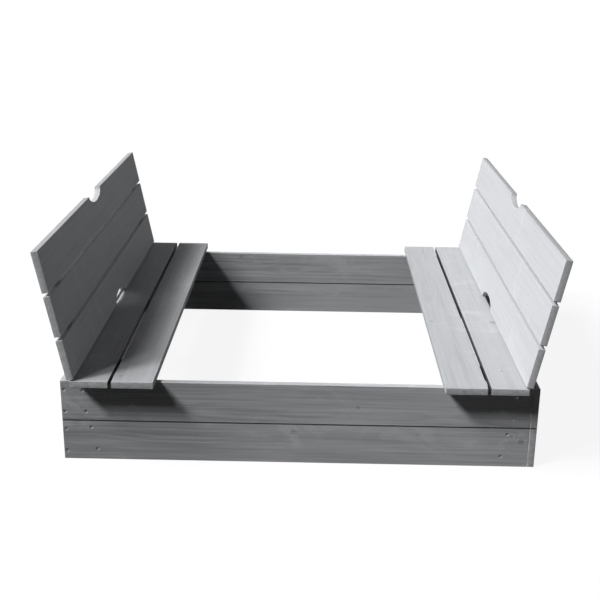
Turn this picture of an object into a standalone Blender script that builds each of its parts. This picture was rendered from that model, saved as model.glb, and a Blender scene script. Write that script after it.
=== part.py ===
"""Square timber sandbox whose two-part cover opens into a pair of facing benches.

Units are metres, +Z is up, the front is towards -Y and the ground is z = 0.
"""
import math

import bmesh
import bpy
from mathutils import Matrix, Vector

# Driving dimensions of the box
BOX_WIDTH = 1.200
BOX_DEPTH = 1.200
WALL_COURSE_NAMES = ("lower", "upper")
WALL_BOARD_HEIGHT = 0.1075
WALL_THICKNESS = 0.018
WALL_SEAM = 0.0006
CORNER_BOARD_WIDTH = 0.090
CORNER_BOARD_THICKNESS = 0.018
CORNER_BOARD_LIFT = 0.004
CORNER_BOARD_DROP = 0.010

# Driving dimensions of the cover
COVER_OVERHANG = 0.045
COVER_THICKNESS = 0.018
SEAT_OUTER_BOARD_WIDTH = 0.0935
SEAT_INNER_BOARD_WIDTH = 0.1035
SEAT_BOARD_GAP = 0.008
SEAT_TO_WALL = 0.0185
SEAT_REST_GAP = 0.0004
BACK_BOARD_WIDTH = 0.105
BACK_BOARD_GAP = 0.009
BACK_BOARD_NAMES = ("lower", "middle", "upper")
BACK_SLOPE = math.radians(78.6)
BACK_LIFT = 0.0040
NOTCH_HALF_LENGTH = 0.075
NOTCH_DEPTH = 0.026

# Driving dimensions of the cleats
SEAT_CLEAT_WIDTH = 0.060
SEAT_CLEAT_THICKNESS = 0.018
SEAT_CLEAT_INSET = 0.008
BACK_CLEAT_WIDTH = 0.045
BACK_CLEAT_THICKNESS = 0.018
BACK_CLEAT_TOP_INSET = 0.020
CLEAT_GUIDE_GAP = 0.002
CLEAT_SPACING = 0.005
CLEAT_STOP_GAP = 0.0005
BACK_CLEAT_REST_GAP = 0.0015

# Driving dimensions of the hinges
HINGE_LENGTH = 0.080
HINGE_OFFSET = 0.320
HINGE_LEAF_GRIP = 0.022
HINGE_LEAF_THICKNESS = 0.0015
KNUCKLE_RADIUS = 0.003
KNUCKLE_BORE_RADIUS = 0.0018
KNUCKLE_GAP = 0.0005
PIN_RADIUS = 0.0015

# Driving dimensions of the screws
SCREW_HEAD_RADIUS = 0.0040
SCREW_HEAD_DEPTH = 0.0028
SCREW_SHANK_RADIUS = 0.0020
SCREW_LENGTH = 0.045
WALL_SCREW_MARGIN = 0.024

# Finish of the edges and the clearance between touching pieces
EDGE_CHAMFER = 0.0015
FIT_GAP = 0.0003
SCREW_SIDES = 6
ROUND_SIDES = 16
NOTCH_SIDES = 40
CUT_MARGIN = 0.010

# Sizes that follow from the driving dimensions
WALL_TOP = len(WALL_COURSE_NAMES) * (WALL_BOARD_HEIGHT + WALL_SEAM) - WALL_SEAM
COVER_LENGTH = BOX_DEPTH + 2 * COVER_OVERHANG
SEAT_WIDTH = SEAT_OUTER_BOARD_WIDTH + SEAT_BOARD_GAP + SEAT_INNER_BOARD_WIDTH
SEAT_EDGE = BOX_WIDTH / 2 - WALL_THICKNESS - SEAT_TO_WALL
BACK_HEIGHT = len(BACK_BOARD_NAMES) * (BACK_BOARD_WIDTH + BACK_BOARD_GAP) - BACK_BOARD_GAP
PIN_RISE = KNUCKLE_RADIUS - HINGE_LEAF_THICKNESS - FIT_GAP
PIN_HEIGHT = WALL_TOP + SEAT_REST_GAP + PIN_RISE
UNDERSIDE = -PIN_RISE
TOP_OVER_PIN = COVER_THICKNESS - PIN_RISE
# The pin runs close along the seat, and the raised backrest's lower front corner stands clear above it.
SEAT_TO_PIN = KNUCKLE_RADIUS + KNUCKLE_GAP
BACK_TO_PIN = (BACK_LIFT + TOP_OVER_PIN * (1 - math.cos(BACK_SLOPE))) / math.sin(BACK_SLOPE)
PIN_OFFSET = SEAT_EDGE + SEAT_TO_PIN
CLEAT_TOP = UNDERSIDE - FIT_GAP
# Cleats run inside the front and rear walls, past the corner boards that stand there.
GUIDE_FACE = BOX_DEPTH / 2 - WALL_THICKNESS - FIT_GAP - CORNER_BOARD_THICKNESS
BACK_CLEAT_OFFSET = GUIDE_FACE - CLEAT_GUIDE_GAP - BACK_CLEAT_WIDTH / 2
SEAT_CLEAT_OFFSET = BACK_CLEAT_OFFSET - (BACK_CLEAT_WIDTH + SEAT_CLEAT_WIDTH) / 2 - CLEAT_SPACING

TIMBER_FINISHES = {
    "wall": ((0.385, 0.392, 0.406), 0.70),
    "cover": ((0.370, 0.377, 0.390), 0.66),
    "cleat": ((0.300, 0.305, 0.316), 0.75),
}
STEEL_FINISH = ((0.55, 0.56, 0.57), 0.35)


def clear_scene():
    """Remove every object of the starting scene."""
    for existing in list(bpy.data.objects):
        bpy.data.objects.remove(existing, do_unlink=True)


def make_material(name, colour, roughness, metallic):
    """A plain Principled material."""
    material = bpy.data.materials.new(name)
    material.use_nodes = True
    shader = material.node_tree.nodes["Principled BSDF"]
    shader.inputs["Base Color"].default_value = (*colour, 1.0)
    shader.inputs["Roughness"].default_value = roughness
    shader.inputs["Metallic"].default_value = metallic
    return material


def make_collection(name):
    """A collection linked to the scene."""
    collection = bpy.data.collections.new(name)
    bpy.context.scene.collection.children.link(collection)
    return collection


class Workshop:
    """The collections and materials that every piece is made with."""

    def __init__(self):
        self.parts = make_collection("sandbox_with_cover")
        self.cutters = make_collection("cutters")
        self.frames = make_collection("frames")
        self.materials = {
            name: make_material(f"grey_stained_{name}_timber", colour, roughness, 0.0)
            for name, (colour, roughness) in TIMBER_FINISHES.items()
        }
        self.materials["steel"] = make_material("zinc_plated_steel", *STEEL_FINISH, 1.0)

    def frame(self, name, parent=None, location=(0, 0, 0), turn=0.0, tilt=0.0):
        """An empty that carries pieces: turn is about Z and tilt is about Y."""
        empty = bpy.data.objects.new(name, None)
        empty.location = location
        empty.rotation_euler = (0.0, tilt, turn)
        empty.parent = parent
        self.frames.objects.link(empty)
        return empty

    def part(self, name, mesh, parent, material, location=(0, 0, 0)):
        """A visible piece."""
        piece = bpy.data.objects.new(name, mesh)
        piece.location = location
        piece.parent = parent
        self.parts.objects.link(piece)
        mesh.materials.clear()
        mesh.materials.append(self.materials[material])
        return piece

    def cutter(self, name, mesh, parent, location=(0, 0, 0)):
        """A hidden shape that is taken out of other pieces."""
        shape = bpy.data.objects.new(name, mesh)
        shape.location = location
        shape.parent = parent
        shape.hide_render = True
        shape.display_type = "WIRE"
        self.cutters.objects.link(shape)
        return shape


def mesh_from(name, bm):
    """Write a bmesh out as a mesh."""
    mesh = bpy.data.meshes.new(name)
    bm.to_mesh(mesh)
    bm.free()
    return mesh


def add_box(bm, low, high):
    """A cuboid between two corners, added to a bmesh."""
    low, high = Vector(low), Vector(high)
    size = Matrix.Diagonal((*(high - low), 1.0))
    bmesh.ops.create_cube(bm, size=1.0, matrix=Matrix.Translation((low + high) / 2) @ size)


def add_rod(bm, radius, start, end, sides=ROUND_SIDES):
    """A cylinder along Y between two heights of Y, added to a bmesh."""
    middle = Vector((0, (start + end) / 2, 0))
    along_y = Matrix.Rotation(math.pi / 2, 4, "X")
    bmesh.ops.create_cone(bm, cap_ends=True, segments=sides, radius1=radius, radius2=radius,
                          depth=end - start, matrix=Matrix.Translation(middle) @ along_y)


def screw_mesh(name, clearance=0.0):
    """A countersunk screw along +Y: a cone from head to shank, whose small end is drawn out into the shank."""
    bm = bmesh.new()
    bmesh.ops.create_cone(bm, cap_ends=True, segments=SCREW_SIDES, depth=SCREW_HEAD_DEPTH,
                          radius1=SCREW_SHANK_RADIUS + clearance, radius2=SCREW_HEAD_RADIUS + clearance,
                          matrix=Matrix.Translation((0, 0, -SCREW_HEAD_DEPTH / 2)))
    neck = min(bm.faces, key=lambda face: face.calc_center_median().z)
    grown = bmesh.ops.extrude_face_region(bm, geom=[neck])["geom"]
    bmesh.ops.delete(bm, geom=[neck], context="FACES_ONLY")
    tip = [item for item in grown if isinstance(item, bmesh.types.BMVert)]
    bmesh.ops.translate(bm, verts=tip, vec=(0, 0, SCREW_HEAD_DEPTH - SCREW_LENGTH - clearance))
    bmesh.ops.rotate(bm, verts=bm.verts, matrix=Matrix.Rotation(math.pi / 2, 3, "X"))
    bmesh.ops.recalc_face_normals(bm, faces=bm.faces)
    return mesh_from(name, bm)


def subtract(piece, cutter):
    """Take a cutter out of a piece."""
    cut = piece.modifiers.new(cutter.name, "BOOLEAN")
    cut.operation = "DIFFERENCE"
    cut.solver = "EXACT"
    cut.object = cutter


def add_board(shop, name, low, high, parent, material):
    """A plank between two corners of its frame, with its edges eased."""
    low, high = Vector(low), Vector(high)
    bm = bmesh.new()
    add_box(bm, (low - high) / 2, (high - low) / 2)
    piece = shop.part(name, mesh_from(name, bm), parent, material, (low + high) / 2)
    ease = piece.modifiers.new("eased_edges", "BEVEL")
    ease.width = EDGE_CHAMFER
    ease.segments = 1
    return piece


def course_heights():
    """The lower and upper edge of each course of wall boards."""
    step = WALL_BOARD_HEIGHT + WALL_SEAM
    return [(course * step, course * step + WALL_BOARD_HEIGHT) for course in range(len(WALL_COURSE_NAMES))]


def wall_boards(shop, side, run, offset, parent):
    """One wall: it starts flush with the box's outer face and ends against the next wall."""
    boards = []
    for level, (lower, upper) in zip(WALL_COURSE_NAMES, course_heights()):
        low = (-run / 2, -offset, lower)
        high = (run / 2 - WALL_THICKNESS - FIT_GAP, -offset + WALL_THICKNESS, upper)
        boards.append(add_board(shop, f"{side}_{level}_wall_board", low, high, parent, "wall"))
    return boards


def corner_boards(shop, names, run, offset, parent):
    """Two upright boards flat against a wall's inner face, one in each corner."""
    inner_face = -offset + WALL_THICKNESS + FIT_GAP
    reach = run / 2 - WALL_THICKNESS - FIT_GAP
    for name, sign in zip(names, (-1, 1)):
        ends = sorted((sign * reach, sign * (reach - CORNER_BOARD_WIDTH)))
        low = (ends[0], inner_face, CORNER_BOARD_LIFT)
        high = (ends[1], inner_face + CORNER_BOARD_THICKNESS, WALL_TOP - CORNER_BOARD_DROP)
        add_board(shop, name, low, high, parent, "wall")


def wall_screws(shop, side, run, offset, parent, courses):
    """Two screws in each course, through a wall's first end into the end of the board that meets it there."""
    x = -run / 2 + WALL_THICKNESS / 2
    for level, (lower, upper), held in zip(WALL_COURSE_NAMES, course_heights(), courses):
        for place, z in (("bottom", lower + WALL_SCREW_MARGIN), ("top", upper - WALL_SCREW_MARGIN)):
            name = f"{side}_{level}_wall_{place}_screw"
            shop.part(name, screw_mesh(name), parent, "steel", (x, -offset, z))
            hole = shop.cutter(f"{name}_hole", screw_mesh(f"{name}_hole", FIT_GAP), parent, (x, -offset, z))
            for board in held:
                subtract(board, hole)


def build_box(shop):
    """Four walls that overlap in turn at the corners, with corner boards behind two of them."""
    sides = (("front", BOX_WIDTH, BOX_DEPTH), ("right", BOX_DEPTH, BOX_WIDTH),
             ("rear", BOX_WIDTH, BOX_DEPTH), ("left", BOX_DEPTH, BOX_WIDTH))
    corners = {"front": ("front_left_corner_board", "front_right_corner_board"),
               "rear": ("rear_right_corner_board", "rear_left_corner_board")}
    frames, walls = [], []
    for quarter, (side, run, span) in enumerate(sides):
        frames.append(shop.frame(f"{side}_wall_frame", turn=quarter * math.pi / 2))
        walls.append(wall_boards(shop, side, run, span / 2, frames[-1]))
        if side in corners:
            corner_boards(shop, corners[side], run, span / 2, frames[-1])
    for place, (side, run, span) in enumerate(sides):
        courses = zip(walls[place], walls[place - 1])
        wall_screws(shop, side, run, span / 2, frames[place], courses)


def seat_boards(shop, side, parent):
    """The two planks of a seat, from the hinge inwards."""
    edge = -SEAT_TO_PIN
    for place, width in (("outer", SEAT_OUTER_BOARD_WIDTH), ("inner", SEAT_INNER_BOARD_WIDTH)):
        low = (edge - width, -COVER_LENGTH / 2, UNDERSIDE)
        high = (edge, COVER_LENGTH / 2, UNDERSIDE + COVER_THICKNESS)
        add_board(shop, f"{side}_seat_{place}_board", low, high, parent, "cover")
        edge -= width + SEAT_BOARD_GAP


def seat_cleats(shop, side, front, parent):
    """Three cleats under a seat: their outer ends stop against the side wall."""
    inner = -SEAT_TO_PIN - SEAT_WIDTH + SEAT_CLEAT_INSET
    outer = SEAT_TO_WALL - SEAT_TO_PIN - CLEAT_STOP_GAP
    for place, y in (("front", front * SEAT_CLEAT_OFFSET), ("middle", 0.0), ("rear", -front * SEAT_CLEAT_OFFSET)):
        low = (inner, y - SEAT_CLEAT_WIDTH / 2, CLEAT_TOP - SEAT_CLEAT_THICKNESS)
        high = (outer, y + SEAT_CLEAT_WIDTH / 2, CLEAT_TOP)
        add_board(shop, f"{side}_seat_{place}_cleat", low, high, parent, "cleat")


def back_board_edges():
    """The lower edge of each backrest plank, measured along the slope from the hinge pin."""
    step = BACK_BOARD_WIDTH + BACK_BOARD_GAP
    return [BACK_TO_PIN + place * step for place in range(len(BACK_BOARD_NAMES))]


def notch_cutter(shop, name, edge, parent):
    """A half-oval finger notch, centred on the edge of a plank."""
    bm = bmesh.new()
    bmesh.ops.create_cone(bm, cap_ends=True, segments=NOTCH_SIDES, radius1=1.0, radius2=1.0, depth=1.0,
                          matrix=Matrix.Diagonal((NOTCH_DEPTH, NOTCH_HALF_LENGTH,
                                                  COVER_THICKNESS + 2 * CUT_MARGIN, 1.0)))
    middle = UNDERSIDE + COVER_THICKNESS / 2
    return shop.cutter(name, mesh_from(name, bm), parent, (edge, 0, middle))


def back_boards(shop, side, parent):
    """The three planks of a backrest, with a finger notch in its lower and its upper edge."""
    boards = []
    for name, edge in zip(BACK_BOARD_NAMES, back_board_edges()):
        low = (edge, -COVER_LENGTH / 2, UNDERSIDE)
        high = (edge + BACK_BOARD_WIDTH, COVER_LENGTH / 2, UNDERSIDE + COVER_THICKNESS)
        boards.append(add_board(shop, f"{side}_back_{name}_board", low, high, parent, "cover"))
    ends = (("lower", boards[0], BACK_TO_PIN), ("upper", boards[-1], BACK_TO_PIN + BACK_HEIGHT))
    for name, board, edge in ends:
        subtract(board, notch_cutter(shop, f"{side}_{name}_notch", edge, parent))


def back_cleats(shop, side, front, parent):
    """Two cleats behind a backrest: their lower ends bear on the side wall's top."""
    depth = PIN_RISE + FIT_GAP + BACK_CLEAT_THICKNESS
    rise = BACK_CLEAT_REST_GAP - (PIN_HEIGHT - WALL_TOP) + depth * math.cos(BACK_SLOPE)
    lower = rise / math.sin(BACK_SLOPE)
    upper = BACK_TO_PIN + BACK_HEIGHT - BACK_CLEAT_TOP_INSET
    for place, y in (("front", front * BACK_CLEAT_OFFSET), ("rear", -front * BACK_CLEAT_OFFSET)):
        low = (lower, y - BACK_CLEAT_WIDTH / 2, CLEAT_TOP - BACK_CLEAT_THICKNESS)
        high = (upper, y + BACK_CLEAT_WIDTH / 2, CLEAT_TOP)
        add_board(shop, f"{side}_back_{place}_cleat", low, high, parent, "cleat")


def knuckle_spans(middle):
    """The stretches of Y that a leaf's knuckles fill: the middle third, or the two outer ones."""
    sixth = HINGE_LENGTH / 6
    if middle:
        return [(-sixth + KNUCKLE_GAP / 2, sixth - KNUCKLE_GAP / 2)]
    outer = (sixth + KNUCKLE_GAP / 2, HINGE_LENGTH / 2)
    return [outer, (-outer[1], -outer[0])]


def add_leaf(shop, name, sign, reach, middle, parent, location):
    """A hinge leaf: a plate under the plank, tongues to the pin and a bored knuckle on each tongue."""
    plate_top = CLEAT_TOP
    plate_foot = plate_top - HINGE_LEAF_THICKNESS
    near = KNUCKLE_RADIUS + KNUCKLE_GAP
    far = reach + HINGE_LEAF_GRIP
    bm = bmesh.new()
    ends = sorted((sign * near, sign * far))
    add_box(bm, (ends[0], -HINGE_LENGTH / 2, plate_foot), (ends[1], HINGE_LENGTH / 2, plate_top))
    leaf = shop.part(name, mesh_from(name, bm), parent, "steel", location)
    for place, (start, end) in enumerate(knuckle_spans(middle)):
        tongue = bmesh.new()
        ends = sorted((0.0, sign * (near + KNUCKLE_GAP)))
        add_box(tongue, (ends[0], start, plate_foot), (ends[1], end, plate_top))
        barrel = bmesh.new()
        add_rod(barrel, KNUCKLE_RADIUS, start, end)
        for kind, shape in (("tongue", tongue), ("barrel", barrel)):
            label = f"{name}_{kind}_{place}"
            joined = leaf.modifiers.new(label, "BOOLEAN")
            joined.operation = "UNION"
            joined.solver = "EXACT"
            joined.object = shop.cutter(label, mesh_from(label, shape), parent, location)
    bore = bmesh.new()
    add_rod(bore, KNUCKLE_BORE_RADIUS, -HINGE_LENGTH / 2 - CUT_MARGIN, HINGE_LENGTH / 2 + CUT_MARGIN)
    subtract(leaf, shop.cutter(f"{name}_bore", mesh_from(f"{name}_bore", bore), parent, location))


def build_hinges(shop, side, front, seat, back):
    """Two butt hinges under the joint of seat and backrest."""
    for place, y in (("front", front * HINGE_OFFSET), ("rear", -front * HINGE_OFFSET)):
        label = f"{side}_{place}_hinge"
        add_leaf(shop, f"{label}_seat_leaf", -1, SEAT_TO_PIN, False, seat, (0, y, 0))
        add_leaf(shop, f"{label}_back_leaf", 1, BACK_TO_PIN, True, back, (0, y, 0))
        bm = bmesh.new()
        add_rod(bm, PIN_RADIUS, -HINGE_LENGTH / 2, HINGE_LENGTH / 2)
        shop.part(f"{label}_pin", mesh_from(f"{label}_pin", bm), seat, "steel", (0, y, 0))


def build_bench(shop, side, turn, front):
    """Half of the cover: a seat that slides on the walls and a backrest hinged to its outer edge."""
    bench = shop.frame(f"{side}_bench_frame", turn=turn)
    seat = shop.frame(f"{side}_seat_frame", bench, (PIN_OFFSET, 0, PIN_HEIGHT))
    back = shop.frame(f"{side}_back_frame", seat, tilt=-BACK_SLOPE)
    seat_boards(shop, side, seat)
    seat_cleats(shop, side, front, seat)
    back_boards(shop, side, back)
    back_cleats(shop, side, front, back)
    build_hinges(shop, side, front, seat, back)


def smooth_round_pieces(shop):
    """Shade the round metal pieces smooth across their shallow angles."""
    for piece in shop.parts.objects:
        if piece.data.materials[0] == shop.materials["steel"]:
            piece.data.shade_smooth()
            piece.data.set_sharp_from_angle(angle=math.radians(40))


def main():
    clear_scene()
    shop = Workshop()
    build_box(shop)
    build_bench(shop, "right", 0.0, -1)
    build_bench(shop, "left", math.pi, 1)
    smooth_round_pieces(shop)


main()
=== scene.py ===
"""Looks of a square timber sandbox whose cover opens into two facing benches.

Units are metres, +Z is up and the front is towards -Y. Each CAD board and wall screw is stood
for by a piece whose surface is worked out here as whole arrays. The CAD hinges keep their shape
and get a zinc finish and screws.
"""
import math

import bmesh
import bpy
import numpy as np
from mathutils import Matrix, Vector


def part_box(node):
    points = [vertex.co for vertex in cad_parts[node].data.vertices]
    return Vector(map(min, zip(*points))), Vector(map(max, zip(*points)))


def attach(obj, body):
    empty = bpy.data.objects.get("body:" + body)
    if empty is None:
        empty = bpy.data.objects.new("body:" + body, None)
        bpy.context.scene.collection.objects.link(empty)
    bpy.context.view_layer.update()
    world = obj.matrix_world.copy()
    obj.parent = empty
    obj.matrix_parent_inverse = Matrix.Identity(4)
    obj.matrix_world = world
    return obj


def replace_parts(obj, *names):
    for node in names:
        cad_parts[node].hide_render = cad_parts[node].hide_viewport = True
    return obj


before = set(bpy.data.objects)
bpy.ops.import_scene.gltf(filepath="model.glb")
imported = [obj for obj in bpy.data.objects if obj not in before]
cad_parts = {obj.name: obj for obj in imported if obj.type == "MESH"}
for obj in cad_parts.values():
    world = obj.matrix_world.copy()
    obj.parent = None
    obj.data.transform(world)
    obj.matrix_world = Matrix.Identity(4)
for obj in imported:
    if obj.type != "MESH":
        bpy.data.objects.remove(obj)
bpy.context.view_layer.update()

X, Y, Z = np.eye(3)
BACK_SLOPE = math.radians(78.6)

# Shape of a plank, in metres
EASE = 0.0010
EASE_STEPS = 4
ALONG_STEP = 0.030
ACROSS_STEP = 0.013
BORDER = 0.0010
SHAVE = 0.00013
HOLLOW = 0.00025
HOLLOW_LENGTH = 0.9
HOLLOW_MEAN = 0.6
HOLLOW_SWING = 0.4
FACING = 0.999
LINE_PLACES = 5
LINE_SLACK = 1e-9
MERGE_DISTANCE = 1e-6
SLIVER = 1e-7

# The finger notch of a backrest plank
NOTCH_REACH = 0.075
NOTCH_DEPTH = 0.026
NOTCH_STEPS = 41
NOTCH_START = math.radians(8)

# A screw drawn deep into the timber: the crater round it and its head
DENT_DEPTH = 0.0021
DENT_FLOOR = 0.0033
DENT_RIM = 0.0047
DENT_LINES = 0.001 * np.array([-5.4, -5.0, -4.6, -4.2, -3.8, -3.4, -2.4, -1.2, 0.0,
                               1.2, 2.4, 3.4, 3.8, 4.2, 4.6, 5.0, 5.4])
HEAD_SUNK = 0.0017
HEAD_PROFILE = 0.001 * np.array([[0.0, 0.0], [0.5, 0.0], [1.0, 0.0], [1.5, 0.0], [2.0, 0.0], [2.5, 0.0],
                                 [3.1, -0.02], [3.5, -0.12], [3.7, -0.30], [3.2, -0.90], [0.0, -0.90]])
HEAD_SIDES = 40
HEAD_SHARP = math.radians(35)
CROSS_ARM = 0.00055
CROSS_REACH = 0.0022
CROSS_DEPTH = 0.0006
CROSS_SOFT = 0.0003

# Screws of the corner boards on the front and rear walls: distance from the middle and height
CORNER_SCREWS = ((0.5445, 0.190), (0.538, 0.1325), (0.5263, 0.090), (0.5135, 0.0287))

# Screws of the cleats, to each side of a cleat's middle line, and of the hinge leaves
SEAT_CLEAT_SCREW_OFFSET = 0.015
BACK_CLEAT_SCREW_OFFSET = 0.009
HINGE_SCREW_PLACES = (-0.027, 0.0, 0.027)
HINGE_SCREW_INSET = 0.009
HEAD_PROUD = 0.0004


def smooth_step(low, high, value):
    """0 below low, 1 above high, and 3t^2 - 2t^3 between them."""
    share = np.clip((value - low) / (high - low), 0.0, 1.0)
    return share * share * (3.0 - 2.0 * share)


def lines_between(half, step, marks):
    """Even lines from -half to half, with one beside each end and a close set round each mark."""
    even = np.linspace(-half, half, int(math.ceil(2 * half / step)) + 1)
    beside = np.array([-half + BORDER, half - BORDER])
    round_marks = (np.asarray(marks, float).reshape(-1, 1) + DENT_LINES).ravel()
    every = np.concatenate([even, beside, round_marks])
    return np.unique(every[np.abs(every) <= half + LINE_SLACK].round(LINE_PLACES))


def plain_edge(along, edge):
    """A straight long edge: its core line, and the way that it faces."""
    rim = np.stack([along, np.full(len(along), edge)])
    faces = np.stack([np.zeros(len(along)), np.ones(len(along))])
    return rim - EASE * faces, faces


def notched_edge(along, edge):
    """A long edge with a half-oval bite: along = reach cos(t), across = edge - depth sin(t).

    Gives the stations along the board, the core line that lies one ease inside the outline,
    and the way that the outline faces. At the bite's two corners the way is the mitre.
    """
    clear = along[np.abs(along) > NOTCH_REACH + 2 * EASE]
    turn = np.linspace(NOTCH_START, math.pi - NOTCH_START, NOTCH_STEPS)
    oval = np.stack([NOTCH_REACH * np.cos(turn), edge - NOTCH_DEPTH * np.sin(turn)])
    oval_faces = np.stack([-np.cos(turn) / NOTCH_REACH, np.sin(turn) / NOTCH_DEPTH])
    oval_faces /= np.linalg.norm(oval_faces, axis=0)
    corners = np.array([[-NOTCH_REACH, NOTCH_REACH], [edge, edge]])
    corner_faces = np.array([[1.0, -1.0], [1.0, 1.0]])
    straight = np.stack([clear, np.full(len(clear), edge)])
    straight_faces = np.stack([np.zeros(len(clear)), np.ones(len(clear))])
    rim = np.concatenate([straight, corners, oval], axis=1)
    faces = np.concatenate([straight_faces, corner_faces, oval_faces], axis=1)
    order = np.argsort(rim[0])
    rim, faces = rim[:, order], faces[:, order]
    return rim[0], rim - EASE * faces, faces


def section_ring(shares):
    """The way round a plank's section: share of the width, lower or upper core, facing across and up."""
    quarter = np.linspace(0.0, math.pi / 2, EASE_STEPS + 1)
    flat = np.zeros_like(shares)
    corner = np.ones(EASE_STEPS)
    first = np.concatenate([quarter[1:] - math.pi / 2, quarter[:-1]])
    second = first + math.pi
    share = np.concatenate([shares, corner, corner, shares[::-1], 0 * corner, 0 * corner])
    level = np.concatenate([flat - 1, -corner, corner, flat + 1, corner, -corner])
    side = np.concatenate([flat, np.cos(first), flat, np.cos(second)])
    rise = np.concatenate([flat - 1, np.sin(first), flat + 1, np.sin(second)])
    return share, level, side, rise


def plank_surface(half, notch, dents, phase):
    """A board as one closed surface, a rounded rectangle carried along the board.

    Point = core + ease x (cos(end) x (across way + up) + sin(end) x along), where end turns from 0
    to a quarter at each end of the board. A bitten edge moves the core line. Each dent lowers the
    face it is in by depth x (1 - smooth step of the distance from its middle), and both faces are
    hollowed a little along their middle.

    Gives the points, a rim value that is 1 midway round an eased edge and 0 on the faces, a cut value
    that is 1 on the ends, and the number of lines across a face.
    """
    core = half - EASE
    along = lines_between(core[0], ALONG_STEP, [d[0] for d in dents])
    lines = lines_between(core[1], ACROSS_STEP, [d[1] for d in dents])
    stations, bitten = along, None
    if notch:
        stations, bitten, bitten_faces = notched_edge(along, half[1])
    upper, upper_faces = plain_edge(stations, half[1])
    lower, lower_faces = upper * [[1], [-1]], upper_faces * [[1], [-1]]
    if notch > 0:
        upper, upper_faces = bitten, bitten_faces
    if notch < 0:
        lower, lower_faces = bitten * [[1], [-1]], bitten_faces * [[1], [-1]]
    quarter = np.linspace(0.0, math.pi / 2, EASE_STEPS + 1)[1:]
    ends = np.concatenate([-quarter[::-1], np.zeros(len(stations)), quarter])
    spread = np.concatenate([np.zeros(EASE_STEPS, int), np.arange(len(stations)),
                             np.full(EASE_STEPS, len(stations) - 1)])
    upper, upper_faces = upper[:, spread, None], upper_faces[:, spread, None]
    lower, lower_faces = lower[:, spread, None], lower_faces[:, spread, None]
    share, level, side, rise = section_ring((lines / core[1] + 1) / 2)
    faces_out = np.where(side >= 0, upper_faces, lower_faces) * np.abs(side)
    shrink, push = np.cos(ends)[:, None], np.sin(ends)[:, None]
    flat = lower * (1 - share) + upper * share + EASE * shrink * faces_out
    place_along = flat[0] + EASE * push
    place_across = flat[1]
    height = level * core[2] + EASE * shrink * rise
    wave = HOLLOW_MEAN + HOLLOW_SWING * np.sin(2 * math.pi * place_along / HOLLOW_LENGTH + phase)
    on_face = (np.abs(rise) > FACING) & (push == 0)
    height = height - np.sign(rise) * on_face * HOLLOW * (1 - (2 * share - 1) ** 2) * wave
    for dent_along, dent_across, dent_side in dents:
        far = np.hypot(place_along - dent_along, place_across - dent_across)
        sunk = DENT_DEPTH * (1 - smooth_step(DENT_FLOOR, DENT_RIM, far))
        height = height - dent_side * sunk * on_face * (np.sign(rise) == dent_side)
    points = np.stack([place_along, place_across, height], axis=-1)
    rim = np.maximum(4 * side ** 2 * rise ** 2 * shrink ** 2, 4 * (push * shrink) ** 2 + 0 * side)
    cut = push ** 2 + 0 * side
    return points, rim, cut, len(lines)


def plank_faces(count, ring, flat):
    """Quads between neighbouring stations, and a cap at each end from the lower to the upper face."""
    row, column = np.meshgrid(np.arange(count - 1), np.arange(ring), indexing="ij")
    following = (column + 1) % ring
    quads = np.stack([row * ring + column, row * ring + following,
                      (row + 1) * ring + following, (row + 1) * ring + column], axis=-1).reshape(-1, 4)
    under = np.arange(flat - 1)
    over = 2 * flat + 2 * EASE_STEPS - 1 - under
    cap = np.stack([under, under + 1, over - 1, over], axis=-1)
    return np.concatenate([quads, cap[:, ::-1], cap + (count - 1) * ring])


def new_piece(name, points, faces, material, body, values=None):
    """A smooth mesh piece in the shared frame, with named values at its points, riding on a body."""
    mesh = bpy.data.meshes.new(name)
    mesh.from_pydata(points.tolist(), [], faces.tolist())
    for label, (kind, field, data) in (values or {}).items():
        layer = mesh.attributes.new(label, kind, "POINT")
        layer.data.foreach_set(field, np.ascontiguousarray(data, np.float32).ravel())
    bm = bmesh.new()
    bm.from_mesh(mesh)
    bmesh.ops.remove_doubles(bm, verts=bm.verts, dist=MERGE_DISTANCE)
    bmesh.ops.dissolve_degenerate(bm, edges=bm.edges, dist=SLIVER)
    bm.to_mesh(mesh)
    bm.free()
    mesh.shade_smooth()
    mesh.materials.append(material)
    piece = bpy.data.objects.new(name, mesh)
    bpy.context.scene.collection.objects.link(piece)
    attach(piece, body)
    return piece


def node_points(node):
    """All points of a CAD node."""
    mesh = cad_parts[node].data
    points = np.empty(len(mesh.vertices) * 3, np.float32)
    mesh.vertices.foreach_get("co", points)
    return points.reshape(-1, 3).astype(float)


def reach(node, axes):
    """Middle and half size of a CAD node along three axes."""
    local = node_points(node) @ axes.T
    low, high = local.min(0), local.max(0)
    return (low + high) / 2, (high - low) / 2


# Random draws for a board: its place in the log along, across and away from the pith, and its hollow's phase
LOG_SEED = 7
PITH_LOW = (-40.0, -0.035, 0.012)
PITH_HIGH = (40.0, 0.035, 0.075)
PHASE_HIGH = 6.28

# How much darker (above 0) or paler (below 0) each board is: at random as stain tone; by part of the cover
# and by wall as stain tone with painted light, the seats and the shaded left backrest darker and the lit
# right backrest and rear wall paler; and by painted shade darkening a wall towards one end
TONE_SPREAD = 0.04
BACK_TONES_AND_PAINTED_LIGHT = {"left": 0.06, "right": -0.08}
SEAT_TONES_AND_PAINTED_SHADE = {"left_outer": 0.22, "left_inner": 0.32, "right_outer": 0.21, "right_inner": 0.31}
WALL_TONES_AND_PAINTED_LIGHT = {"front": -0.06, "right": -0.06, "rear": -0.14, "left": -0.06}
WALL_PAINTED_SHADE_FADES = {"front": (-1, 0.50), "right": (1, 0.0), "rear": (1, 0.55), "left": (1, 0.0)}
FADE_START = -0.25
FADE_FULL = 0.90

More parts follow.
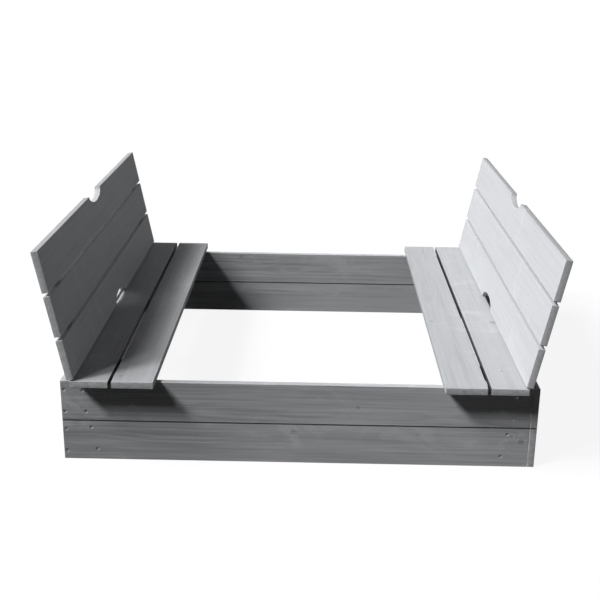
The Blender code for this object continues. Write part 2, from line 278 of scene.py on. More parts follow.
# How much painted shade darkens a seam, a gap between planks or a cleat's face under the planks, and how
# much a backrest's top edge is darkened with it, from 0 to 1; how far in from an edge it reaches; and the
# mark of a painted highlight on a rim
WALL_SEAM_SHADE = 1.0
TOP_EDGE_DARKENING = 0.38
SEAT_GAP_SHADE = 0.90
CLEAT_TOP_SHADE = 0.95
BACK_GAP_SHADES = {"left": {"lower": 0.35, "upper": 0.0}, "right": {"lower": 0.0, "upper": 0.0}}
SEAM_DEPTH = 0.0014
SEAT_SEAM_DEPTH = 0.0004
HIGHLIGHT_RIM = 2.0


class Timber:
    """Makes boards, each cut from its own place in the log."""

    def __init__(self, seed):
        self.draw = np.random.default_rng(seed)

    def board(self, node, axes, body, material, slot, notch=0, screws=(), seams=(), seam_depth=SEAM_DEPTH,
              top_shade=0.0, tone_and_painted_light=0.0, painted_shade_fade=(1, 0.0), highlit_end=False):
        """A plank that stands for a CAD board. Screws are points on its faces in the shared frame.

        Seams are the long edges, 1 or -1, darkened with the near-black of painted shade, each with how much,
        and the seam depth is how far in it reaches. The top shade is how much painted shade darkens a
        cleat's face under the planks. The tone is how much darker than the rest of its finish the board is,
        as stain tone with painted light, and the fade is an end, 1 or -1, and how much more painted shade
        darkens it there. A highlit end board gets a painted highlight along the inner corner of its first
        end.
        """
        middle, half = reach(node, axes)
        half = half - SHAVE
        dents = [tuple(local[:2]) + (float(np.sign(local[2])),)
                 for local in (np.asarray(screw) @ axes.T - middle for screw in screws)]
        pith = self.draw.uniform(PITH_LOW, PITH_HIGH)
        pith[2] *= self.draw.choice([-1.0, 1.0])
        tone_and_painted_light += TONE_SPREAD * self.draw.normal(0.0, 1.0)
        points, rim, cut, flat = plank_surface(half, notch, dents, self.draw.uniform(0, PHASE_HIGH))
        count, ring = rim.shape
        local = points.reshape(-1, 3)
        # Marks for painted shade: along seams and gaps, along a backrest's top edge, and on a cleat's face
        # under the planks
        for edge, shade_amount in seams:
            rim = np.where(edge * points[..., 1] > half[1] - seam_depth, -shade_amount, rim)
        if top_shade:
            rim = np.where(points[..., 2] > half[2] - SEAM_DEPTH, -top_shade, rim)
        # A painted highlight along the inner corner of the first end
        if highlit_end:
            corner = (points[..., 0] < EASE - half[0]) & (points[..., 2] < EASE - half[2])
            rim = np.where(corner, HIGHLIGHT_RIM, rim)
        # The fade adds painted shade towards one end of a wall
        end, more = painted_shade_fade
        faded = smooth_step(FADE_START, FADE_FULL, end * local[:, 0] / half[0])
        values = {"timber": ("FLOAT_VECTOR", "vector", local + pith),
                  "rim": ("FLOAT", "value", rim),
                  "cut": ("FLOAT", "value", cut),
                  "tone_and_painted_light": ("FLOAT", "value", tone_and_painted_light + more * faded)}
        name = node.replace("board", "plank").replace("cleat", "batten")
        faces = plank_faces(count, ring, flat)
        piece = new_piece(name, (local + middle) @ axes, faces, material, body, values)
        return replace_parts(piece, node)


def screw_heads(name, places, out, material, body, sunk, nodes=()):
    """Cross-recessed heads: a profile turned about each screw's axis, lowered where the cross is cut.

    Depth of the cross = depth x (1 - smooth step of the nearer arm's distance)
    x (1 - smooth step of the radius).
    """
    out = np.asarray(out, float)
    side = np.cross(out, X if abs(out[0]) < abs(out[1]) + abs(out[2]) else Y)
    side /= np.linalg.norm(side)
    lift = np.cross(out, side)
    angle = np.linspace(0, 2 * math.pi, HEAD_SIDES, endpoint=False)
    radius, height = HEAD_PROFILE[:, 0, None], HEAD_PROFILE[:, 1, None]
    u, v = radius * np.cos(angle), radius * np.sin(angle)
    arm = 1 - smooth_step(CROSS_ARM, CROSS_ARM + CROSS_SOFT, np.minimum(np.abs(u), np.abs(v)))
    inside = 1 - smooth_step(CROSS_REACH, CROSS_REACH + CROSS_SOFT, radius)
    drop = height - CROSS_DEPTH * arm * inside * (height == 0.0)
    head = (u[..., None] * side + v[..., None] * lift + drop[..., None] * out).reshape(-1, 3)
    places = np.asarray(places, float).reshape(-1, 1, 3) - sunk * out
    points = (places + head).reshape(-1, 3)
    rows = len(HEAD_PROFILE)
    row, column = np.meshgrid(np.arange(rows - 1), np.arange(HEAD_SIDES), indexing="ij")
    following = (column + 1) % HEAD_SIDES
    one = np.stack([row * HEAD_SIDES + column, (row + 1) * HEAD_SIDES + column,
                    (row + 1) * HEAD_SIDES + following, row * HEAD_SIDES + following], axis=-1)
    one = one.reshape(-1, 4)
    shift = np.arange(len(places))[:, None, None] * (rows * HEAD_SIDES)
    piece = new_piece(name, points, (one + shift).reshape(-1, 4), material, body)
    piece.data.set_sharp_from_angle(angle=HEAD_SHARP)
    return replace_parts(piece, *nodes) if nodes else piece


# How fine a noise is
COARSE = 1.0
MEDIUM = 2.0
FINE = 3.0


def put(tree, kind, settings=None, **inputs):
    """A node with settings and inputs: an input that is a socket is linked, and a plain value is set."""
    node = tree.nodes.new(kind)
    for key, value in (settings or {}).items():
        setattr(node, key, value)
    for key, value in inputs.items():
        socket = node.inputs[int(key[1:])] if key[1:].isdigit() else node.inputs[key.replace("_", " ")]
        if isinstance(value, bpy.types.NodeSocket):
            tree.links.new(value, socket)
        else:
            socket.default_value = value
    return node


def calc(tree, operation, *values):
    """The result of a Math node."""
    inputs = {f"i{place}": value for place, value in enumerate(values)}
    return put(tree, "ShaderNodeMath", {"operation": operation}, **inputs).outputs[0]


def between(tree, value, low, high, start=0.0, end=1.0):
    """A smooth step from start to end as value goes from low to high."""
    node = put(tree, "ShaderNodeMapRange", {"interpolation_type": "SMOOTHSTEP"}, Value=value)
    for key, number in (("From Min", low), ("From Max", high), ("To Min", start), ("To Max", end)):
        node.inputs[key].default_value = number
    return node.outputs["Result"]


def blended(tree, factor, first, second):
    """A colour between two others."""
    node = put(tree, "ShaderNodeMix", {"data_type": "RGBA"}, Factor=factor)
    for place, value in ((6, first), (7, second)):
        if isinstance(value, bpy.types.NodeSocket):
            tree.links.new(value, node.inputs[place])
        else:
            node.inputs[place].default_value = (*value, 1.0)
    return node.outputs[2]


def noise(tree, place, scale, detail=MEDIUM, dimensions="3D"):
    """Fractal noise from 0 to 1, read at a place that is stretched by a scale."""
    if dimensions == "1D":
        return put(tree, "ShaderNodeTexNoise", {"noise_dimensions": "1D"}, W=place, Scale=scale,
                   Detail=detail).outputs[0]
    moved = put(tree, "ShaderNodeVectorMath", {"operation": "MULTIPLY"}, i0=place, i1=scale).outputs[0]
    return put(tree, "ShaderNodeTexNoise", None, Vector=moved, Scale=1.0, Detail=detail).outputs[0]


def new_group(name, inputs, outputs):
    """An empty node group with named sockets, its entry and its exit."""
    tree = bpy.data.node_groups.new(name, "ShaderNodeTree")
    for way, sockets in (("INPUT", inputs), ("OUTPUT", outputs)):
        for label, kind in sockets:
            tree.interface.new_socket(label, in_out=way, socket_type=f"NodeSocket{kind}")
    return tree, tree.nodes.new("NodeGroupInput").outputs, tree.nodes.new("NodeGroupOutput").inputs


# Knots: cells in a metre, their shape, how far they push the rings aside, and their size and edge
KNOT_CELLS = 5.5
KNOT_STRETCH = 1.25
KNOT_SCATTER = 0.85
KNOT_FALL = -1500.0
KNOT_PUSH = 0.026
KNOT_SMALLEST = 0.005
KNOT_SIZE_SPREAD = 0.007
KNOT_EDGE = (0.55, 1.45)

# Growth rings. A scale is noise cells in a metre along, across and through the board
RING_WANDER = ((1.7, 5.0, 5.0), 0.055)
RING_RIPPLE = ((8.0, 30.0, 30.0), 0.0045)
RING_SPACING_SCALE = 110.0
RING_SPACING_SPREAD = 1.6
LATE_WOOD_START = 0.15
LATE_WOOD_FULL = 0.72
RING_FADE_SCALE = (2.2, 16.0, 16.0)
RING_FADE = (0.35, 0.70, 0.15, 1.0)

# Noises of the figure: scale and detail
FIGURE_NOISES = {
    "Streaks": ((1.4, 58.0, 58.0), 3.0),
    "Lines": ((2.6, 150.0, 150.0), 2.0),
    "Fibres": ((6.0, 330.0, 330.0), 3.0),
    "Clouds": ((2.6, 13.0, 13.0), 3.0),
    "Sawn": ((300.0, 95.0, 150.0), 4.0),
}

# Pale flames and bands: scale and edge, and the places where they show
WAVER = ((11.0, 26.0, 26.0), 0.085)
FLAME_TURN = 0.19
FLAME_SLANT = 0.7
FLAME_SCALE = (26.0, 6.0, 3.0)
FLAME_EDGE = (0.46, 0.74)
FLAME_PLACE_SCALE = (3.1, 9.0, 9.0)
FLAME_PLACE_EDGE = (0.46, 0.64)
BAND_SCALE = (36.0, 6.0, 6.0)
BAND_EDGE = (0.50, 0.76)
BAND_PLACE_SCALE = (4.5, 10.0, 10.0)
BAND_PLACE_EDGE = (0.46, 0.66)

# Rubbed rims: scale and range of the patches. Painted shade covers the timber up to this share
RUB_SCALE = (22.0, 60.0, 60.0)
RUB_PATCHES = (0.32, 0.68, 0.10, 0.50)
PAINTED_SHADE_COVER = 0.9

# How much each part of the figure darkens the stain, or lightens it where the value is below 0
SHADE_LEVEL = 0.30
SHADE_RINGS = 0.30
SHADE_PARTS = {"Streaks": 0.65, "Lines": 1.15, "Fibres": 0.80, "Clouds": 0.45}
SHADE_FLAMES = -0.60
SHADE_BANDS = -0.26
SHADE_CUT = -0.15
SHADE_SAWN = 1.7
SHADE_KNOTS = 0.45

# Surface of the timber and of the steel
# Painted highlight: the near-white laid on a wall end's inner rim
PAINTED_HIGHLIGHT_COLOUR = (0.80, 0.80, 0.81)
# Painted shade: the near-black laid in seams, gaps, on cleat faces under the planks and on a backrest's top
# edge
PAINTED_SHADE_COLOUR = (0.020, 0.0204, 0.0212)
TIMBER_ROUGHNESS_SPREAD = 0.18
RELIEF_RINGS = 0.5
RELIEF_FIBRES = 0.6
BUMP_STRENGTH = 0.35
BUMP_DEPTH = 0.0005
TIMBER_GLOSS = 0.08
SPANGLE_SCALE = (420.0, 420.0, 420.0)
STEEL_CLOUD_SCALE = (60.0, 60.0, 60.0)
STEEL_ROUGHNESS_SPREAD = 0.30

# Finishes of the timber: colours, roughness, growth rings in metres, and how strongly the figure shows
TIMBER_FINISHES = {
    "grey_stained_wall": {
        "light": (0.455, 0.463, 0.480), "dark": (0.250, 0.254, 0.263), "rubbed": (0.510, 0.516, 0.528),
        "roughness": 0.60, "ring_width": 0.0062, "knot_share": 0.22, "grain": 1.0,
        "flames": SHADE_FLAMES, "bands": 0.0},
    "grey_stained_cover": {
        "light": (0.480, 0.489, 0.506), "dark": (0.280, 0.285, 0.295), "rubbed": (0.500, 0.507, 0.520),
        "roughness": 0.56, "ring_width": 0.0058, "knot_share": 0.06, "grain": 0.36,
        "flames": 0.0, "bands": SHADE_BANDS},
    "grey_stained_cleat": {
        "light": (0.360, 0.366, 0.378), "dark": (0.210, 0.214, 0.221), "rubbed": (0.420, 0.426, 0.438),
        "roughness": 0.64, "ring_width": 0.0060, "knot_share": 0.18, "grain": 1.0,
        "flames": 0.0, "bands": 0.0},
}

# Finishes of the steel: bare plate on the hinges, and a film of stain on the screws in the timber
STEEL_FINISHES = {
    "zinc_plate": {
        "dark": (0.42, 0.43, 0.44), "light": (0.62, 0.63, 0.64), "dullness": 0.25, "metal": 1.0},
    "stained_screws": {
        "dark": (0.13, 0.133, 0.137), "light": (0.25, 0.255, 0.264), "dullness": 0.45, "metal": 0.6},
}


def swayed(tree, place, scale, width, detail=MEDIUM):
    """A noise about 0, reaching half a width to each side."""
    return calc(tree, "MULTIPLY", calc(tree, "SUBTRACT", noise(tree, place, scale, detail), 0.5), width)


def figure_group():
    """Softwood figure: growth rings about the pith, streaks, clouds, pale flames and bands, and knots.

    Ring phase = (distance from the pith + slow wander + ripple + knot push) / ring width + uneven spacing.
    Streaks, lines, fibres, clouds and bands are noises stretched along or across the board. Flames are
    a noise along slanting lines that turn back every so often, so that they meet in points.
    """
    outputs = ("Rings", "Flames", "Bands", "Knots", *FIGURE_NOISES)
    tree, given, result = new_group(
        "softwood_figure", [("Place", "Vector"), ("Ring Width", "Float"), ("Knot Share", "Float")],
        [(name, "Float") for name in outputs])
    place = given["Place"]
    parts = put(tree, "ShaderNodeSeparateXYZ", None, i0=place).outputs
    stretched = calc(tree, "MULTIPLY", parts[1], KNOT_STRETCH)
    flat = put(tree, "ShaderNodeCombineXYZ", None, X=parts[0], Y=stretched).outputs[0]
    cells = put(tree, "ShaderNodeTexVoronoi", {"voronoi_dimensions": "2D"}, Vector=flat, Scale=KNOT_CELLS,
                Randomness=KNOT_SCATTER)
    chance = put(tree, "ShaderNodeSeparateColor", None, Color=cells.outputs["Color"]).outputs
    has_knot = calc(tree, "LESS_THAN", chance[0], given["Knot Share"])
    apart = calc(tree, "DIVIDE", cells.outputs["Distance"], KNOT_CELLS)
    near = calc(tree, "EXPONENT", calc(tree, "MULTIPLY", calc(tree, "POWER", apart, 2.0), KNOT_FALL))
    push = calc(tree, "MULTIPLY", calc(tree, "MULTIPLY", near, has_knot), KNOT_PUSH)
    wander = swayed(tree, place, *RING_WANDER)
    ripple = swayed(tree, place, *RING_RIPPLE)
    across = calc(tree, "SQRT", calc(tree, "ADD", calc(tree, "POWER", parts[1], 2.0),
                                     calc(tree, "POWER", parts[2], 2.0)))
    radius = calc(tree, "ADD", calc(tree, "ADD", across, wander), calc(tree, "ADD", ripple, push))
    spacing = noise(tree, radius, RING_SPACING_SCALE, MEDIUM, "1D")
    uneven = calc(tree, "MULTIPLY", spacing, RING_SPACING_SPREAD)
    rings = calc(tree, "DIVIDE", radius, given["Ring Width"])
    phase = calc(tree, "FRACT", calc(tree, "ADD", rings, uneven))
    late = calc(tree, "MULTIPLY", between(tree, phase, LATE_WOOD_START, LATE_WOOD_FULL),
                between(tree, phase, 1.0, LATE_WOOD_FULL))
    faded = between(tree, noise(tree, place, RING_FADE_SCALE), *RING_FADE)
    tree.links.new(calc(tree, "MULTIPLY", late, faded), result["Rings"])
    for name, (scale, detail) in FIGURE_NOISES.items():
        tree.links.new(noise(tree, place, scale, detail), result[name])
    turned = calc(tree, "PINGPONG", parts[0], FLAME_TURN)
    waver = swayed(tree, place, *WAVER, FINE)
    slant = calc(tree, "ADD", calc(tree, "MULTIPLY_ADD", turned, FLAME_SLANT, parts[1]), waver)
    slanted = put(tree, "ShaderNodeCombineXYZ", None, X=slant, Y=turned, Z=parts[0]).outputs[0]
    flames = between(tree, noise(tree, slanted, FLAME_SCALE), *FLAME_EDGE)
    rare = between(tree, noise(tree, place, FLAME_PLACE_SCALE, COARSE), *FLAME_PLACE_EDGE)
    tree.links.new(calc(tree, "MULTIPLY", flames, rare), result["Flames"])
    wavering = calc(tree, "ADD", parts[0], waver)
    shifted = put(tree, "ShaderNodeCombineXYZ", None, X=wavering, Y=parts[1], Z=parts[2]).outputs[0]
    bands = between(tree, noise(tree, shifted, BAND_SCALE), *BAND_EDGE)
    some = between(tree, noise(tree, place, BAND_PLACE_SCALE, COARSE), *BAND_PLACE_EDGE)
    tree.links.new(calc(tree, "MULTIPLY", bands, some), result["Bands"])
    size = calc(tree, "ADD", calc(tree, "MULTIPLY", chance[1], KNOT_SIZE_SPREAD), KNOT_SMALLEST)
    outside = between(tree, calc(tree, "DIVIDE", apart, size), *KNOT_EDGE)
    inside = calc(tree, "SUBTRACT", 1.0, outside)
    tree.links.new(calc(tree, "MULTIPLY", inside, has_knot), result["Knots"])
    return tree


def rim_group():
    """Where the stain is rubbed thin in patches on eased edges, where painted shade is laid, and where a
    painted highlight is laid.
    """
    tree, given, result = new_group("rubbed_and_painted_rims", [("Place", "Vector"), ("Rim", "Float")],
                                    [("Rubbed", "Float"), ("Painted Shade", "Float"), ("Painted Highlight", "Float")])
    patch = between(tree, noise(tree, given["Place"], RUB_SCALE, FINE), *RUB_PATCHES)
    rubbed = calc(tree, "MULTIPLY", calc(tree, "MAXIMUM", given["Rim"], 0.0), patch)
    tree.links.new(rubbed, result["Rubbed"])
    # Painted shade where the rim value is below 0
    tree.links.new(between(tree, given["Rim"], 0.0, -1.0, 0.0, PAINTED_SHADE_COVER), result["Painted Shade"])
    # Painted highlight where the rim value is above 1
    tree.links.new(between(tree, given["Rim"], 1.0, HIGHLIGHT_RIM), result["Painted Highlight"])
    return tree


def attribute(tree, name, output):
    """A named value of the piece."""
    return put(tree, "ShaderNodeAttribute", {"attribute_name": name}).outputs[output]


def timber_material(name, groups, light, dark, rubbed, roughness, ring_width, knot_share, grain, flames,
                    bands):
    """Grey stain over softwood: early and late wood, knots, fibres, rubbed rims, painted shade in seams,
    gaps and under planks, a painted highlight on wall ends, and rough end grain.

    Shade goes from 0, light, to 1, dark: a level plus the figure's parts, the board's tone with its painted
    light, cut ends and knots.
    """
    material = bpy.data.materials.new(name)
    material.use_nodes = True
    tree = material.node_tree
    shader = tree.nodes["Principled BSDF"]
    place = attribute(tree, "timber", "Vector")
    figure = put(tree, "ShaderNodeGroup", {"node_tree": groups["figure"]}, Place=place).outputs
    figure[0].node.inputs["Ring Width"].default_value = ring_width
    figure[0].node.inputs["Knot Share"].default_value = knot_share
    rim = attribute(tree, "rim", "Fac")
    wear_and_painted_light = put(tree, "ShaderNodeGroup", {"node_tree": groups["rim"]}, Place=place, Rim=rim).outputs
    cut = attribute(tree, "cut", "Fac")
    shade = calc(tree, "MULTIPLY_ADD", figure["Rings"], grain * SHADE_RINGS, SHADE_LEVEL)
    for value, share in SHADE_PARTS.items():
        centred = calc(tree, "SUBTRACT", figure[value], 0.5)
        shade = calc(tree, "MULTIPLY_ADD", centred, grain * share, shade)
    shade = calc(tree, "MULTIPLY_ADD", figure["Flames"], flames, shade)
    shade = calc(tree, "MULTIPLY_ADD", figure["Bands"], bands, shade)
    # The tone value carries stain tone with painted light, and a wall's painted shade towards one end
    shade = calc(tree, "ADD", attribute(tree, "tone_and_painted_light", "Fac"), shade)
    centred = calc(tree, "SUBTRACT", figure["Sawn"], 0.5)
    sawn = calc(tree, "MULTIPLY_ADD", centred, SHADE_SAWN, SHADE_CUT)
    shade = calc(tree, "MULTIPLY_ADD", cut, sawn, shade)
    shade = calc(tree, "MULTIPLY_ADD", figure["Knots"], SHADE_KNOTS, shade)
    colour = blended(tree, shade, light, dark)
    colour = blended(tree, wear_and_painted_light["Rubbed"], colour, rubbed)
    # Painted shade in seams, gaps, under the planks and on a backrest's top edge
    colour = blended(tree, wear_and_painted_light["Painted Shade"], colour, PAINTED_SHADE_COLOUR)
    # Painted highlight on a wall end's inner rim
    colour = blended(tree, wear_and_painted_light["Painted Highlight"], colour, PAINTED_HIGHLIGHT_COLOUR)
    tree.links.new(colour, shader.inputs["Base Color"])
    uneven = calc(tree, "MULTIPLY_ADD", figure["Fibres"], TIMBER_ROUGHNESS_SPREAD, roughness)
    tree.links.new(uneven, shader.inputs["Roughness"])
    relief = calc(tree, "MULTIPLY", figure["Fibres"], RELIEF_FIBRES)
    relief = calc(tree, "MULTIPLY_ADD", figure["Rings"], RELIEF_RINGS, relief)
    relief = calc(tree, "MULTIPLY_ADD", cut, figure["Sawn"], relief)
    bump = put(tree, "ShaderNodeBump", None, Strength=BUMP_STRENGTH, Distance=BUMP_DEPTH, Height=relief)
    tree.links.new(bump.outputs[0], shader.inputs["Normal"])
    shader.inputs["Specular IOR Level"].default_value = TIMBER_GLOSS
    return material


def steel_material(name, dark, light, dullness, metal):
    """Plated steel: a faint spangle in the colour and a cloudy roughness."""
    material = bpy.data.materials.new(name)
    material.use_nodes = True
    tree = material.node_tree
    shader = tree.nodes["Principled BSDF"]
    place = put(tree, "ShaderNodeTexCoord").outputs["Object"]
    spangle = noise(tree, place, SPANGLE_SCALE)
    clouds = noise(tree, place, STEEL_CLOUD_SCALE, FINE)
    tree.links.new(blended(tree, spangle, dark, light), shader.inputs["Base Color"])
    uneven = calc(tree, "MULTIPLY_ADD", clouds, STEEL_ROUGHNESS_SPREAD, dullness)
    tree.links.new(uneven, shader.inputs["Roughness"])
    shader.inputs["Metallic"].default_value = metal
    return material


def wall_screws(side):
    """The CAD screws at a wall's first end, and their middles."""
    nodes = [f"{side}_{level}_wall_{place}_screw"
             for level in ("lower", "upper") for place in ("bottom", "top")]
    return nodes, [np.mean(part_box(node), axis=0) for node in nodes]


def build_box(timber, wall, steel):
    """Walls, corner boards and their screws."""
    body = "sandbox_frame"
    turn = np.eye(3)
    quarter = np.array([[0.0, -1.0, 0.0], [1.0, 0.0, 0.0], [0.0, 0.0, 1.0]])
    for side in ("front", "right", "rear", "left"):
        axes = np.stack([turn @ X, Z, turn @ -Y])
        nodes, screws = wall_screws(side)
        middle, half = reach(f"{side}_lower_wall_board", axes)
        outer = middle[2] + half[2]
        heads = [screw + axes[2] * (outer - screw @ axes[2]) for screw in screws]
        corners = []
        if side in ("front", "rear"):
            corners = [axes[0] * sign * off + Z * height + axes[2] * outer
                       for off, height in CORNER_SCREWS for sign in (-1, 1)]
            screw_heads(f"{side}_corner_board_screws", corners, axes[2], steel, body, HEAD_SUNK)
        screw_heads(f"{side}_wall_end_screws", heads, axes[2], steel, body, HEAD_SUNK, nodes)
        for level, seam_edge in (("lower", 1), ("upper", -1)):
            node = f"{side}_{level}_wall_board"
            low, high = (corner[2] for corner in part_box(node))
            own = [point for point in heads + corners if low < point[2] < high]
            # Each wall board: painted shade along the seam between its two boards, painted light in its
            # tone, painted shade towards one end, and a painted highlight on its first end's inner rim
            timber.board(node, axes, body, wall, "wall_timber", screws=own,
                         seams=[(seam_edge, WALL_SEAM_SHADE)], tone_and_painted_light=WALL_TONES_AND_PAINTED_LIGHT[side],
                         painted_shade_fade=WALL_PAINTED_SHADE_FADES[side], highlit_end=True)
        turn = quarter @ turn
    for corner in ("front_left", "front_right", "rear_left", "rear_right"):
        axes = np.stack([Z, X, Y]) if corner.startswith("front") else np.stack([Z, -X, -Y])
        timber.board(f"{corner}_corner_board", axes, body, wall, "wall_timber")


def grid_points(axes, plane, firsts, seconds):
    """Points in the plane of a face: every first place along it with every second place across it."""
    return [axes[0] * first + axes[1] * second + axes[2] * plane for first in firsts for second in seconds]


def hinge_screws(side, part, axes, steel):
    """Three screws in each leaf of a side's two hinges, near the leaf's free edge and on its outer face."""
    heads = []
    for place in ("front", "rear"):
        middle, half = reach(f"{side}_{place}_hinge_{part}_leaf", axes)
        free = middle[1] + half[1] - HINGE_SCREW_INSET
        heads += grid_points(axes, middle[2] - half[2], middle[0] + np.array(HINGE_SCREW_PLACES), [free])
    body = f"{side}_seat" if part == "seat" else f"{side}_backrest"
    screw_heads(f"{side}_hinge_{part}_screws", heads, -axes[2], steel, body, -HEAD_PROUD)


def fix_cleats(part, places, axes, body, rows, offset, timber, cleat, steel):
    """The cleats of a seat or a backrest, each with two screws into every plank."""
    heads = []
    for place in places:
        node = f"{part}_{place}_cleat"
        middle, half = reach(node, axes)
        own = grid_points(axes, middle[2] - half[2], rows, (middle[1] - offset, middle[1] + offset))
        # Painted shade on the cleat's face under the planks
        timber.board(node, axes, body, cleat, "cleat_timber", screws=own, top_shade=CLEAT_TOP_SHADE)
        heads += own
    screw_heads(f"{part}_cleat_screws", heads, -axes[2], steel, body, HEAD_SUNK)


def build_seat(side, sign, timber, cover, cleat, stained):
    """The seat that lies on the walls: two planks and three cleats."""
    body = f"{side}_seat"
    rows = []
    for place, gap_edge in (("outer", sign), ("inner", -sign)):
        node = f"{side}_seat_{place}_board"
        # Painted shade along each plank's edge at the gap; the tone darkens the seats with painted shade as
        # well as stain tone
        timber.board(node, np.stack([Y, -X, Z]), body, cover, "cover_timber",
                     seams=[(gap_edge, SEAT_GAP_SHADE)], seam_depth=SEAT_SEAM_DEPTH,
                     tone_and_painted_light=SEAT_TONES_AND_PAINTED_SHADE[f"{side}_{place}"])
        rows.append(reach(node, np.eye(3))[0][0])
    fix_cleats(body, ("front", "middle", "rear"), np.stack([X, Y, Z]), body, rows, SEAT_CLEAT_SCREW_OFFSET,
               timber, cleat, stained)


def build_backrest(side, sign, timber, cover, cleat, stained, zinc):
    """The backrest: three planks, two of them notched, two cleats, and the screws of its hinges."""
    body = f"{side}_backrest"
    slope, rise = math.cos(BACK_SLOPE), math.sin(BACK_SLOPE)
    up = np.array([sign * slope, 0.0, rise])
    out = np.array([-sign * rise, 0.0, slope])
    axes = np.stack([-sign * Y, up, out])
    # Painted shade along the lower gap of the left backrest, and the top edge of the upper plank darkened
    # with the same near-black; the tone carries painted light
    gaps = BACK_GAP_SHADES[side]
    planks = {"lower": (-1, [(1, gaps["lower"])]),
              "middle": (0, [(-1, gaps["lower"]), (1, gaps["upper"])]),
              "upper": (1, [(-1, gaps["upper"]), (1, TOP_EDGE_DARKENING)])}
    rows = []
    for place, (notch, seams) in planks.items():
        node = f"{side}_back_{place}_board"
        timber.board(node, axes, body, cover, "cover_timber", notch=notch, seams=seams,
                     tone_and_painted_light=BACK_TONES_AND_PAINTED_LIGHT[side])
        rows.append(reach(node, axes)[0][1])
    fix_cleats(f"{side}_back", ("front", "rear"), np.stack([up, sign * Y, out]), body, rows,
               BACK_CLEAT_SCREW_OFFSET, timber, cleat, stained)
    hinge_screws(side, "seat", np.stack([Y, -sign * X, Z]), zinc)
    hinge_screws(side, "back", axes, zinc)


def finish_hinges(zinc):
    """The CAD hinges keep their shape and get the zinc finish."""
    for name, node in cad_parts.items():
        if "hinge" in name:
            node.data.materials.clear()
            node.data.materials.append(zinc)


def build_object():
    """Every piece of the object."""
    groups = {"figure": figure_group(), "rim": rim_group()}
    wall, cover, cleat = (timber_material(name, groups, **finish)
                          for name, finish in TIMBER_FINISHES.items())
    zinc, stained = (steel_material(name, **finish) for name, finish in STEEL_FINISHES.items())
    timber = Timber(LOG_SEED)
    build_box(timber, wall, stained)
    for side, sign in (("left", -1), ("right", 1)):
        build_seat(side, sign, timber, cover, cleat, stained)
        build_backrest(side, sign, timber, cover, cleat, stained, zinc)
    finish_hinges(zinc)


# The camera: place, downward pitch, turn to the right, roll, and focal length in pixels of a square frame
CAMERA_PLACE = (0.0333, -2.9445, 1.2255)
CAMERA_PITCH = math.radians(18.541)
CAMERA_YAW = math.radians(-0.844)
CAMERA_ROLL = math.radians(-0.7145)
FOCAL_PIXELS = 1020.6
FRAME_PIXELS = 600
SENSOR = 36.0


def make_camera():
    """A camera whose axes are turned by yaw, pitch and roll in that order."""
    sin, cos = math.sin, math.cos
    ahead = Vector((sin(CAMERA_YAW) * cos(CAMERA_PITCH), cos(CAMERA_YAW) * cos(CAMERA_PITCH),
                    -sin(CAMERA_PITCH)))
    level = Vector((cos(CAMERA_YAW), -sin(CAMERA_YAW), 0.0))
    below = ahead.cross(level)
    right = cos(CAMERA_ROLL) * level + sin(CAMERA_ROLL) * below
    down = -sin(CAMERA_ROLL) * level + cos(CAMERA_ROLL) * below
    lens = bpy.data.cameras.new("photo_camera")
    lens.sensor_width = SENSOR
    lens.lens = FOCAL_PIXELS * SENSOR / FRAME_PIXELS
    camera = bpy.data.objects.new("photo_camera", lens)
    turn = Matrix((right, -down, -ahead)).transposed().to_4x4()
    camera.matrix_world = Matrix.Translation(CAMERA_PLACE) @ turn
    bpy.context.scene.collection.objects.link(camera)
    bpy.context.scene.camera = camera


# Lamps: the way the light travels, watts in a square metre, width in degrees, whether seen in gloss
LAMPS = {
    "main_lamp": ((0.85, 0.45, -1.0), 2.78, 10.0, True),
    "front_lamp": ((0.68, 0.65, -1.0), 0.69, 5.0, True),
    "top_lamp": ((0.715, 0.045, -1.0), 2.02, 17.0, True),
    "side_lamp": ((3.4, -0.15, -1.0), 0.85, 25.0, True),
    "right_fill": ((-1.0, 0.1, 0.05), 0.40, 60.0, False),
    "rear_fill": ((0.0, -1.0, -0.02), 1.00, 30.0, False),
}

# Light from all round, and the floor: its width, its glow, and its colour as seen and as it gives light
AMBIENT = 0.02
FLOOR_SIZE = 60.0
FLOOR_GLOW = 0.90
FLOOR_SEEN = (0.08, 0.08, 0.08)
FLOOR_BOUNCE = (0.03, 0.03, 0.03)


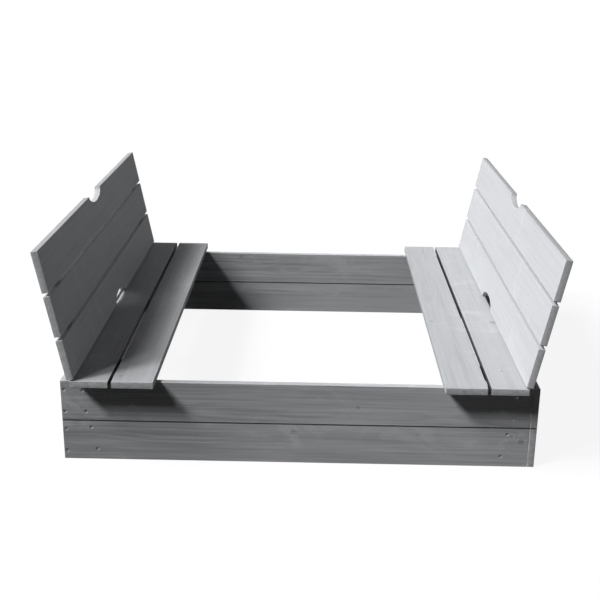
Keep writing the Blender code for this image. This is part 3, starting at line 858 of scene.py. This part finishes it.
def make_lamps():
    """Soft distant lamps, each aimed along its way."""
    for name, (way, strength, width, in_gloss) in LAMPS.items():
        light = bpy.data.lights.new(name, "SUN")
        light.energy = strength
        light.angle = math.radians(width)
        lamp = bpy.data.objects.new(name, light)
        lamp.rotation_mode = "QUATERNION"
        lamp.rotation_quaternion = Vector(way).to_track_quat("-Z", "Y")
        lamp.visible_glossy = in_gloss
        bpy.context.scene.collection.objects.link(lamp)


def seen_white(tree):
    """1 for camera, glossy and transmission rays, else 0."""
    rays = put(tree, "ShaderNodeLightPath").outputs
    mirrored = calc(tree, "MAXIMUM", rays["Is Glossy Ray"], rays["Is Transmission Ray"])
    return calc(tree, "MAXIMUM", rays["Is Camera Ray"], mirrored)


def make_surroundings():
    """A surrounding that looks white but gives little light, and a pale floor that keeps a shadow."""
    world = bpy.data.worlds.new("studio")
    bpy.context.scene.world = world
    world.use_nodes = True
    tree = world.node_tree
    background = tree.nodes["Background"]
    background.inputs["Color"].default_value = (1.0, 1.0, 1.0, 1.0)
    strength = calc(tree, "MULTIPLY_ADD", seen_white(tree), 1.0 - AMBIENT, AMBIENT)
    tree.links.new(strength, background.inputs["Strength"])
    floor_material = bpy.data.materials.new("pale_floor")
    floor_material.use_nodes = True
    tree = floor_material.node_tree
    shader = tree.nodes["Principled BSDF"]
    seen = seen_white(tree)
    tree.links.new(blended(tree, seen, FLOOR_BOUNCE, FLOOR_SEEN), shader.inputs["Base Color"])
    shader.inputs["Roughness"].default_value = 1.0
    shader.inputs["Specular IOR Level"].default_value = 0.0
    shader.inputs["Emission Color"].default_value = (1.0, 1.0, 1.0, 1.0)
    tree.links.new(calc(tree, "MULTIPLY", seen, FLOOR_GLOW), shader.inputs["Emission Strength"])
    half = FLOOR_SIZE / 2
    mesh = bpy.data.meshes.new("floor")
    corners = [(-half, -half, 0), (half, -half, 0), (half, half, 0), (-half, half, 0)]
    mesh.from_pydata(corners, [], [(0, 1, 2, 3)])
    mesh.materials.append(floor_material)
    floor = bpy.data.objects.new("floor", mesh)
    bpy.context.scene.collection.objects.link(floor)


build_object()
make_camera()
make_lamps()
make_surroundings()
bpy.context.scene.view_settings.view_transform = "Standard"
